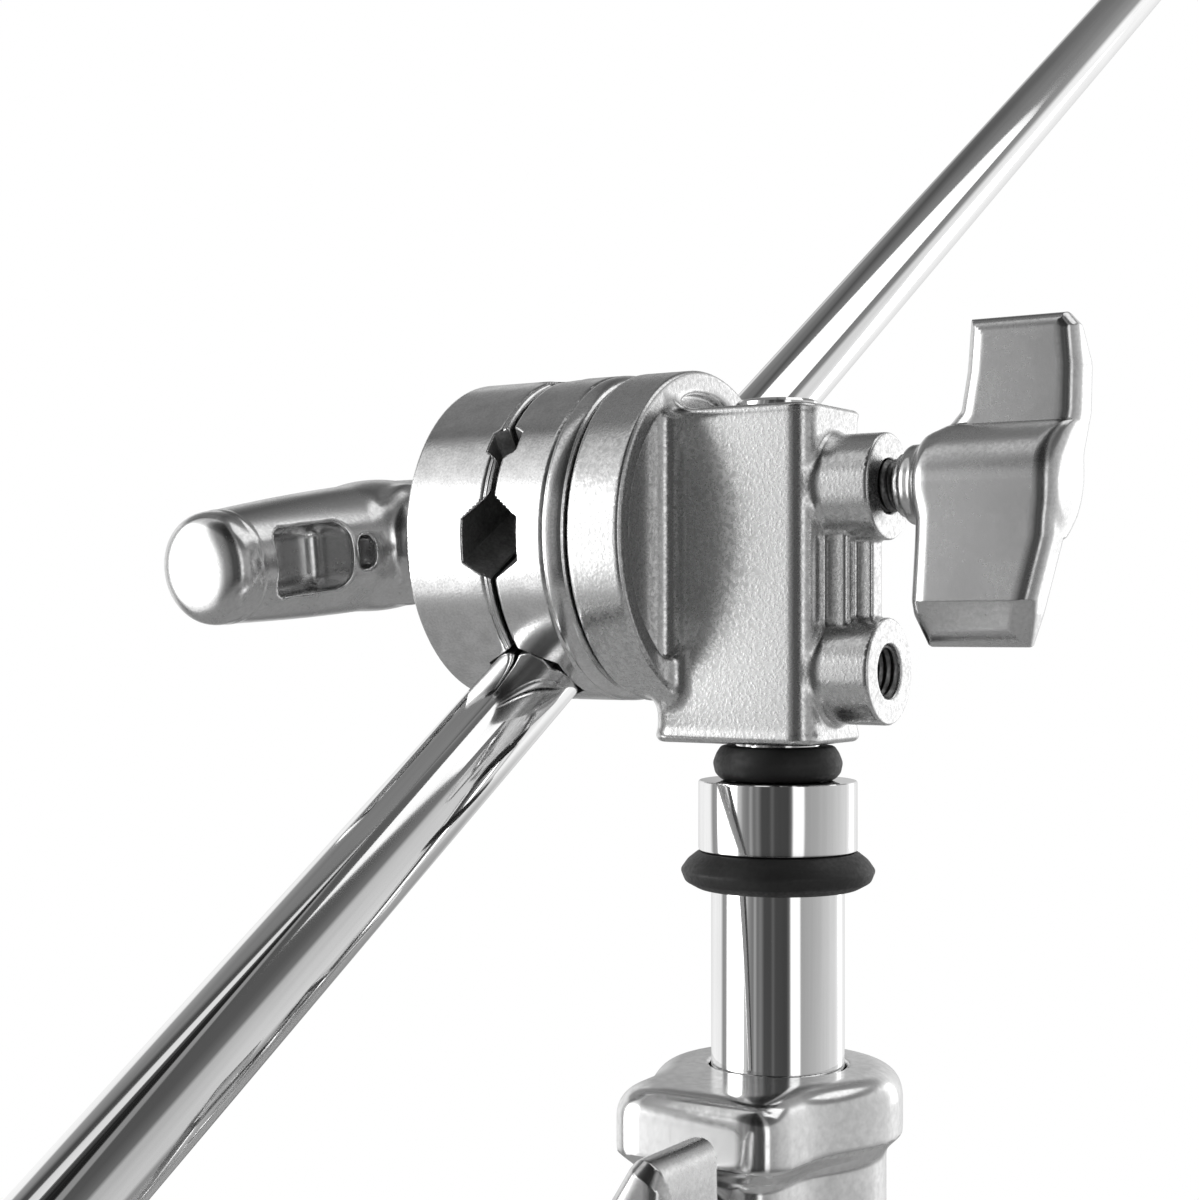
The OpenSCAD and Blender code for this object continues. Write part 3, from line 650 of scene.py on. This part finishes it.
# ---- Arm ----
ARM = HEAD @ Matrix.Translation((0, ARM_OFFSET, SEAM)) @ Matrix.Rotation(math.pi / 2, 4, "Y")
rod("arm_rod", ARM_R, -ARM_TAIL, ARM_END, CHROME, "arm", ["arm_tube"], ARM, ARM_R - 1.6, 0.5,
    160)
lathe("arm_tail_plug", [(0.02, -ARM_TAIL - 3), (ARM_R - 0.3, -ARM_TAIL - 3, 1.6), (ARM_R - 0.3, -ARM_TAIL),
                        (6.3, -ARM_TAIL), (6.3, -ARM_TAIL + 12), (0.02, -ARM_TAIL + 12)],
      RUBBER, "arm", ["arm_tail_cap"], ARM, 0.4, 96)


def arm_head_field(x, y, z):
    """Fixed head on the arm: x along the arm from its bolt, z along the bolt."""
    back = DISC_BACK + ARM_HEAD_RISE
    front = DISC_FRONT + ARM_HEAD_RISE
    radial = np.hypot(x, y)
    disc = rounded(radial - PLATE_R, np.abs(z - (back + front) / 2) - (front - back) / 2, 0.9)
    recess = rounded(radial - PLATE_R + RIM, slab(z, back - 6, back + RECESS), 0.6)
    disc = smax(disc, -recess, 1.3)
    socket = cyl_field(y, z - SEAM, x, 12 - 1.4 * np.clip((-x - 60) / 48, 0, 1), -108, 7, 1.6)
    lip = cyl_field(y, z - SEAM, x, 11.9, -108, -103, 1.0)
    neck = box_field(x, y, z, (-7, 0, (SEAM + back + 4) / 2), (14.8, 9.8, (back + 4 - SEAM) / 2), 3.0)
    body = smin(smin(smin(socket, lip, 1.2), neck, 5.0), disc, 2.0)
    bore = np.maximum(np.hypot(y, z - SEAM) - ARM_R - 0.01, slab(x, -130, -46))
    body = smax(body, -bore, 0.5)
    pin = np.hypot(x + 88, y) - 2.5
    body = smax(body, -pin, 0.3)
    bolt = np.maximum(radial - BOLT_BORE_R, slab(z, back - 5, 200))
    return smax(body, -bolt, 0.4)


cast("arm_head_casting", arm_head_field, (-110, -33, SEAM - 14), (33, 33, DISC_FRONT + ARM_HEAD_RISE + 1),
     0.8, CASTING,
     "arm", ["arm_head_body"], HEAD @ Matrix.Translation((ARM_HEAD_X, ARM_OFFSET, 0)))
rod("arm_socket_pin", 2.48, SEAM - 11, SEAM + 11, DARK_STEEL, "arm", ["arm_roll_pin"],
    HEAD @ Matrix.Translation((ARM_HEAD_X - 88, ARM_OFFSET, 0)), 1.2, 0.3, 32)

# ---- Risers, collar, stud and rings ----
COLLAR_TOP = high("riser_2_collar").z
COLLAR_LOW = low("riser_2_collar").z
STUD_TOP = high("stud").z
rod("riser_2_pipe", RISER_2_R, low("riser_2_tube").z, high("riser_2_tube").z, CHROME, "riser_2",
    ["riser_2_tube"],
    None, RISER_2_R - TUBE_WALL, 0.3, 160)
lathe("riser_2_top_collar", [(STUD_R + 0.02, COLLAR_LOW), (14.9, COLLAR_LOW, 0.5), (14.9, COLLAR_TOP, 0.5),
                             (STUD_R + 0.02, COLLAR_TOP)], CHROME, "riser_2", ["riser_2_collar"],
      None, 0.4, 160)
lathe("baby_stud", [(0.02, low("stud").z), (10.9, low("stud").z), (10.9, COLLAR_LOW), (STUD_R, COLLAR_LOW),
                    (STUD_R, STUD_TOP, 1.4), (0.02, STUD_TOP)], CHROME, "riser_2", ["stud"],
                    None, 0.4, 96)


def ring_profile(node, inner, swell):
    """A moulded rubber ring: pointed outside, flat inside."""
    z0, z1 = low(node).z, high(node).z
    r = high(node).x
    mid, half = (z0 + z1) / 2, (z1 - z0) / 2
    return [(inner, z0), (r - swell, z0, 0.6), (r - 0.25 * swell, mid - 0.6 * half, 0.5), (r, mid, 0.5),
            (r - 0.4 * swell, mid + 0.55 * half, 0.5), (r - swell, z1, 0.6), (inner, z1)]


lathe("rubber_ring_large", ring_profile("ring_large", RISER_2_R + 0.3, 3.4), RUBBER, "riser_2",
      ["ring_large"],
      None, 0.3, 128)
lathe("rubber_ring_small", ring_profile("ring_small", STUD_R + 0.02, 1.6), RUBBER, "riser_2", ["ring_small"],
      None, 0.3, 128)
rod("riser_1_pipe", RISER_1_R, low("riser_1_tube").z, high("riser_1_tube").z, CHROME, "riser_1",
    ["riser_1_tube"],
    None, RISER_1_R - TUBE_WALL, 0.3, 160)
rod("column_pipe", COLUMN_R, low("column_tube").z, high("column_tube").z, CHROME, "column", ["column_tube"],
    None, COLUMN_R - TUBE_WALL, 0.3, 160)

# ---- Lock castings ----
CASTING_H = 62.0
LOCK_Z = 36.0
BAND_H = 12.0
BAND_STEP = 4.5
NECK_WALL = 4.5
BAND_PROUD = 3.8
FRONT_REACH = 21.9
FRONT_STEP = 2.5
BAND_HALF = 16.8
LOWER_HALF = 14.0


def casting_field(seat_r, riser_r):
    neck_r = seat_r + NECK_WALL
    band_r = neck_r + BAND_PROUD
    front = riser_r + FRONT_REACH

    def plan(x, y, r, reach, half):
        """Round band that tapers to a flat front."""
        ring = np.hypot(x, y) - r
        side = np.abs(y) - half - (x + reach) * 0.06
        wedge = smax(smax(-x - reach, side, 7.0), x, 1.0)
        return smin(ring, wedge, 5.0)

    def field(x, y, z):
        grow = np.clip((z - (CASTING_H - BAND_H - BAND_STEP)) / BAND_STEP, 0, 1)
        top = plan(x, y, band_r - 3.6 * (1 - grow), front - FRONT_STEP * (1 - grow),
                   BAND_HALF - FRONT_STEP * (1 - grow))
        band = smax(top, slab(z, CASTING_H - BAND_H - BAND_STEP, CASTING_H), 6.0)
        lower = smax(plan(x, y, neck_r, front - FRONT_STEP, LOWER_HALF), slab(z, 12, CASTING_H - 6), 3.5)
        neck = cyl_field(x, y, z, neck_r, 0, CASTING_H - 8, 1.2)
        foot = cyl_field(x, y, z, neck_r + 1.2, 0, 5, 1.0)
        boss = cyl_field(y, z - LOCK_Z, -x, 9.5, 8, front + 1.2, 0.8)
        body = smin(smin(band, lower, 1.2), smin(neck, foot, 1.4), 3.0)
        body = smin(body, boss, 2.2)
        body = smax(body, -(np.maximum(np.hypot(x, y) - seat_r - 0.01, slab(z, -5, 20))), 0.5)
        body = smax(body, -(np.maximum(np.hypot(x, y) - riser_r - 0.45, slab(z, 15, 90))), 0.7)
        screw = np.maximum(np.hypot(y, z - LOCK_Z) - 5.0, slab(x, -90, 0))
        return smax(body, -screw, 0.6)
    return field


for name, body, seat_r, riser_r in (("column", "column", COLUMN_R, RISER_1_R),
                                    ("riser_1", "riser_1", RISER_1_R, RISER_2_R)):
    base = low(name + "_casting").z
    reach = seat_r + 9.5
    cast(name + "_lock_casting", casting_field(seat_r, riser_r), (-riser_r - 25, -reach, -1),
         (reach, reach, CASTING_H + 1),
         0.7, POLISHED, body, [name + "_casting"], Matrix.Translation((0, 0, base)))
    screw = name + "_lock_screw"
    start = -high(screw).x
    thread(name + "_lock_thread", THREAD_R, THREAD_PITCH, start + 0.02, -low(screw).x - 0.3, DARK_STEEL,
           name + "_lock",
           [screw],
           Matrix.Translation((0, 0, base + LOCK_Z)) @ Matrix.Rotation(-math.pi / 2, 4, "Y"),
           0.6)

# ---- Base ----
HUB_H = 46.0
HUB_R = 30.0
LEG_R = 12.5
FOOT_R = 14.5
LEG_FLOOR = 13.5
LEG_REACH = 480.0
LEG_BEND_X = 72.0
LEG_BEND_R = 50.0
LEG_SLOPE = math.radians(45)
LEG_AZIMUTH = {"low": 240, "mid": 120, "high": 0}
LEG_BODY = {"low": "column", "mid": "leg_mid", "high": "leg_high"}


def hub_field(x, y, z):
    ring = cyl_field(x, y, z, HUB_R, -HUB_H / 2, HUB_H / 2, 1.6)
    waist = 1.2 * np.exp(-(np.maximum(np.abs(z) - 14, 0) / 3) ** 2)
    ring = ring + np.where(np.hypot(x, y) > 24, waist, 0)
    socket = cyl_field(y, z, x, 17 - 1.6 * np.clip((x - 30) / 30, 0, 1), 5, 66, 1.2)
    lip = cyl_field(y, z, x, 16.4, 60, 66, 1.2)
    rib = box_field(x, y, z, (38, 0, 0), (12, 3, 21), 1.2)
    body = smin(smin(ring, socket, 5), smin(lip, rib, 1.5), 2.5)
    bore = np.hypot(x, y) - COLUMN_R - 0.06
    body = smax(body, -bore, 0.6)
    leg = np.maximum(np.hypot(y, z) - LEG_R - 0.02, slab(x, 34, 120))
    return smax(body, -leg, 0.6)


LEG_WALL = 1.5


def leg_stations(z):
    """Points and downward slopes along a leg's axis."""
    fall = LEG_BEND_R * (1 - math.cos(LEG_SLOPE))
    reach = LEG_BEND_R * math.sin(LEG_SLOPE)
    run = (z - LEG_FLOOR - 2 * fall) / math.tan(LEG_SLOPE)
    floor_x = LEG_BEND_X + 2 * reach + run
    steps = [LEG_SLOPE * k / 16 for k in range(17)]
    path = [(34.6, z, 0.0)]
    path += [(LEG_BEND_X + LEG_BEND_R * math.sin(u), z - LEG_BEND_R * (1 - math.cos(u)), u) for u in steps]
    path += [(floor_x - LEG_BEND_R * math.sin(u), LEG_FLOOR + LEG_BEND_R * (1 - math.cos(u)),
              u) for u in reversed(steps)]
    path.append((LEG_REACH - 4.2, LEG_FLOOR, 0.0))
    return path


def leg_pipe(z, sides=64):
    path = leg_stations(z)
    verts, faces = [], []
    for r in (LEG_R, LEG_R - LEG_WALL):
        for px, pz, u in path:
            for i in range(sides):
                a = 2 * math.pi * i / sides
                verts.append((px + r * math.cos(a) * math.sin(u), r * math.sin(a),
                              pz + r * math.cos(a) * math.cos(u)))
    count = len(path)
    inner = count * sides
    last = (count - 1) * sides
    for i in range(sides):
        j = (i + 1) % sides
        for k in range(count - 1):
            a, b = k * sides, (k + 1) * sides
            faces.append((a + i, a + j, b + j, b + i))
            faces.append((inner + b + i, inner + b + j, inner + a + j, inner + a + i))
        faces.append((i, inner + i, inner + j, j))
        faces.append((last + j, inner + last + j, inner + last + i, last + i))
    return verts, faces


hub = None
for which, azimuth in LEG_AZIMUTH.items():
    body = LEG_BODY[which]
    turn = Matrix.Rotation(math.radians(azimuth), 4, "Z")
    mid = centre(f"leg_{which}_hub").z
    hub_at = turn @ Matrix.Translation((0, 0, mid))
    if hub is None:
        hub = cast(f"leg_{which}_hub_casting", hub_field, (-31, -31, -24), (67, 31, 24), 0.9, POLISHED, body,
                   [f"leg_{which}_hub"], hub_at)
    else:
        copy_piece(hub, f"leg_{which}_hub_casting", body, [f"leg_{which}_hub"], hub_at)
    verts, faces = leg_pipe(mid)
    sharpen(make(f"leg_{which}_pipe", verts, faces, CHROME, body, [f"leg_{which}_tube"], turn),
            40)
    foot_at = turn @ Matrix.Translation((0, 0, LEG_FLOOR)) @ Matrix.Rotation(math.pi / 2, 4, "Y")
    foot = lathe(f"leg_{which}_foot_cap",
                 [(LEG_R + 0.02, LEG_REACH - 32), (FOOT_R - 0.4, LEG_REACH - 32, 0.8),
                                           (FOOT_R - 0.4, LEG_REACH - 26), (FOOT_R, LEG_REACH - 25, 0.3),
                                           (FOOT_R, LEG_REACH, 3.0), (0.02, LEG_REACH), (0.02, LEG_REACH - 4),
                                           (LEG_R + 0.02, LEG_REACH - 4)],
                 RUBBER, body, [f"leg_{which}_foot"], foot_at, 0.4, 96)
    for v in foot.data.vertices:
        v.co.x = min(v.co.x, LEG_FLOOR * MM)

lathe("column_base_plug", [(0.02, low("column_base_cap").z), (25, low("column_base_cap").z, 1.8),
                           (25, 74, 0.8),
                           (15.98, 74), (15.98, 90), (0.02, 90)],
      RUBBER, "column", ["column_base_cap"], None, 0.5, 96)
stop = low("hub_stop_collar").z
lathe("hub_stop_ring", [(COLUMN_R + 0.02, stop), (26, stop, 0.8), (26, stop + 6, 0.8), (21, stop + 10, 0.8),
                        (COLUMN_R + 0.02, stop + 10)], POLISHED, "column", ["hub_stop_collar"],
      None, 0.5, 128)

# ---- Carried-over CAD nodes ----
CAD_MATERIALS = {"hub_washers": NYLON, "column_bush": NYLON, "riser_1_bush": NYLON, "riser_1_guide": NYLON,
                 "riser_2_guide": NYLON, "column_lock_pad": NYLON, "riser_1_lock_pad": NYLON,
                 "receiver_pad": BRASS,
                 "head_spring": ZINC, "arm_spring": ZINC}
for node, material in CAD_MATERIALS.items():
    data = frame["nodes"][node].data
    data.materials.clear()
    data.materials.append(material)

# ---- Studio ----
VIEW_AZIMUTH = math.radians(32.46)
CAMERA_AT = Vector((-348.6, -182.0, HEAD_Z - 17.17)) * MM
LENS = 62.5
HORIZON_SHIFT = 0.0216

camera_data = bpy.data.cameras.new("camera")
camera_data.lens = LENS
camera_data.sensor_width = 36
camera_data.shift_y = HORIZON_SHIFT
camera_data.clip_start = 0.01
camera_data.clip_end = 20
camera = bpy.data.objects.new("camera", camera_data)
camera.location = CAMERA_AT
camera.rotation_euler = (math.pi / 2, 0, VIEW_AZIMUTH - math.pi / 2)
bpy.context.scene.collection.objects.link(camera)
bpy.context.scene.camera = camera

# Studio panels round the stand: (turn from the camera's own direction in degrees, brightness)
PANELS = [(-180, 0.4), (-172, 0.8), (-150, 1.0), (-120, 1.0), (-113, 0.30), (-103, 0.35), (-100, 3.4),
          (-68, 3.4),
          (-65, 0.66),
          (-60, 0.58), (-56, 0.30), (-48, 0.20), (-44, 0.42), (-40, 0.16), (-34, 0.24), (-28, 0.07),
          (-17, 0.07),
          (-13, 0.14), (-9, 0.07), (10, 0.06), (15, 0.16), (18, 1.3), (32, 1.3), (35, 0.40), (60, 0.48),
          (112, 0.80), (124, 1.1), (140, 1.0), (165, 0.75), (180, 0.4)]
HEIGHTS = [(-90, 0.26), (-45, 0.32), (-22, 0.42), (-16, 1.0), (25, 1.0), (31, 0.34), (50, 0.22), (90, 0.25)]


def world_ramp(nodes, stops, span):
    ramp = nodes.new("ShaderNodeValToRGB")
    elements = ramp.color_ramp.elements
    while len(elements) < min(len(stops), 32):
        elements.new(0.5)
    for element, (angle, value) in zip(elements, stops):
        element.position = (angle + span) / (2 * span)
        element.color = (value, value, value, 1)
    return ramp


def build_world():
    world = bpy.data.worlds.new("studio")
    bpy.context.scene.world = world
    world.use_nodes = True
    nodes, links = world.node_tree.nodes, world.node_tree.links
    nodes.clear()
    coords = nodes.new("ShaderNodeTexCoord")
    mapping = nodes.new("ShaderNodeMapping")
    mapping.vector_type = "POINT"
    mapping.inputs["Rotation"].default_value = (0, 0, -(VIEW_AZIMUTH - math.pi))
    links.new(coords.outputs["Generated"], mapping.inputs["Vector"])
    split = nodes.new("ShaderNodeSeparateXYZ")
    links.new(mapping.outputs["Vector"], split.inputs["Vector"])
    turn = nodes.new("ShaderNodeMath")
    turn.operation = "ARCTAN2"
    links.new(split.outputs["Y"], turn.inputs[0])
    links.new(split.outputs["X"], turn.inputs[1])
    share = nodes.new("ShaderNodeMapRange")
    share.inputs["From Min"].default_value = -math.pi
    share.inputs["From Max"].default_value = math.pi
    links.new(turn.outputs["Value"], share.inputs["Value"])
    around = world_ramp(nodes, PANELS, 180)
    links.new(share.outputs["Result"], around.inputs["Fac"])
    rise = nodes.new("ShaderNodeMath")
    rise.operation = "ARCSINE"
    links.new(split.outputs["Z"], rise.inputs[0])
    level = nodes.new("ShaderNodeMapRange")
    level.inputs["From Min"].default_value = -math.pi / 2
    level.inputs["From Max"].default_value = math.pi / 2
    links.new(rise.outputs["Value"], level.inputs["Value"])
    upward = world_ramp(nodes, HEIGHTS, 90)
    links.new(level.outputs["Result"], upward.inputs["Fac"])
    both = nodes.new("ShaderNodeMix")
    both.data_type = "RGBA"
    both.blend_type = "MULTIPLY"
    both.inputs["Factor"].default_value = 1.0
    links.new(around.outputs["Color"], both.inputs["A"])
    links.new(upward.outputs["Color"], both.inputs["B"])
    studio = nodes.new("ShaderNodeBackground")
    links.new(both.outputs["Result"], studio.inputs["Color"])
    studio.inputs["Strength"].default_value = 1.0
    white = nodes.new("ShaderNodeBackground")
    white.inputs["Color"].default_value = (1, 1, 1, 1)
    path = nodes.new("ShaderNodeLightPath")
    mix = nodes.new("ShaderNodeMixShader")
    links.new(path.outputs["Is Camera Ray"], mix.inputs["Fac"])
    links.new(studio.outputs["Background"], mix.inputs[1])
    links.new(white.outputs["Background"], mix.inputs[2])
    out = nodes.new("ShaderNodeOutputWorld")
    links.new(mix.outputs["Shader"], out.inputs["Surface"])


build_world()
bpy.context.scene.view_settings.view_transform = "Standard"


def panel(name, turn, height, distance, width, tall, power):
    """A softbox at a turn from the camera's direction, aimed at the head."""
    angle = VIEW_AZIMUTH - math.pi + math.radians(turn)
    target = Vector((0, 0, HEAD_Z * MM))
    data = bpy.data.lights.new(name, "AREA")
    data.shape = "RECTANGLE"
    data.size, data.size_y = width, tall
    data.energy = power
    light = bpy.data.objects.new(name, data)
    light.location = target + Vector((math.cos(angle) * distance, math.sin(angle) * distance, height))
    light.rotation_euler = (target - light.location).to_track_quat("-Z", "Y").to_euler()
    light.visible_camera = False
    bpy.context.scene.collection.objects.link(light)


panel("left_softbox", -84, 0.1, 1.6, 0.6, 0.7, 1.2)
panel("right_softbox", 128, 0.1, 1.8, 0.5, 1.0, 1.4)
panel("top_softbox", 100, 1.5, 0.9, 1.2, 1.2, 5)

floor_mesh = bpy.data.meshes.new("floor")
FLOOR_R = 2.4
FLOOR_SIDES = 96
floor_mesh.from_pydata([(FLOOR_R * math.cos(2 * math.pi * i / FLOOR_SIDES),
                         FLOOR_R * math.sin(2 * math.pi * i / FLOOR_SIDES),
                         -0.0005) for i in range(FLOOR_SIDES)], [],
                       [tuple(range(FLOOR_SIDES))])
floor_material, floor_nodes, floor_links, floor_bsdf = new_material("floor_paint")
floor_coords = object_coords(floor_nodes)
floor_links.new(tint(floor_nodes, floor_links, noise(floor_nodes, floor_links, floor_coords, 6.0), grey(0.80),
                     grey(0.84)),
                floor_bsdf.inputs["Base Color"])
floor_bsdf.inputs["Roughness"].default_value = 0.6
floor_mesh.materials.append(floor_material)
floor = bpy.data.objects.new("floor", floor_mesh)
bpy.context.scene.collection.objects.link(floor)
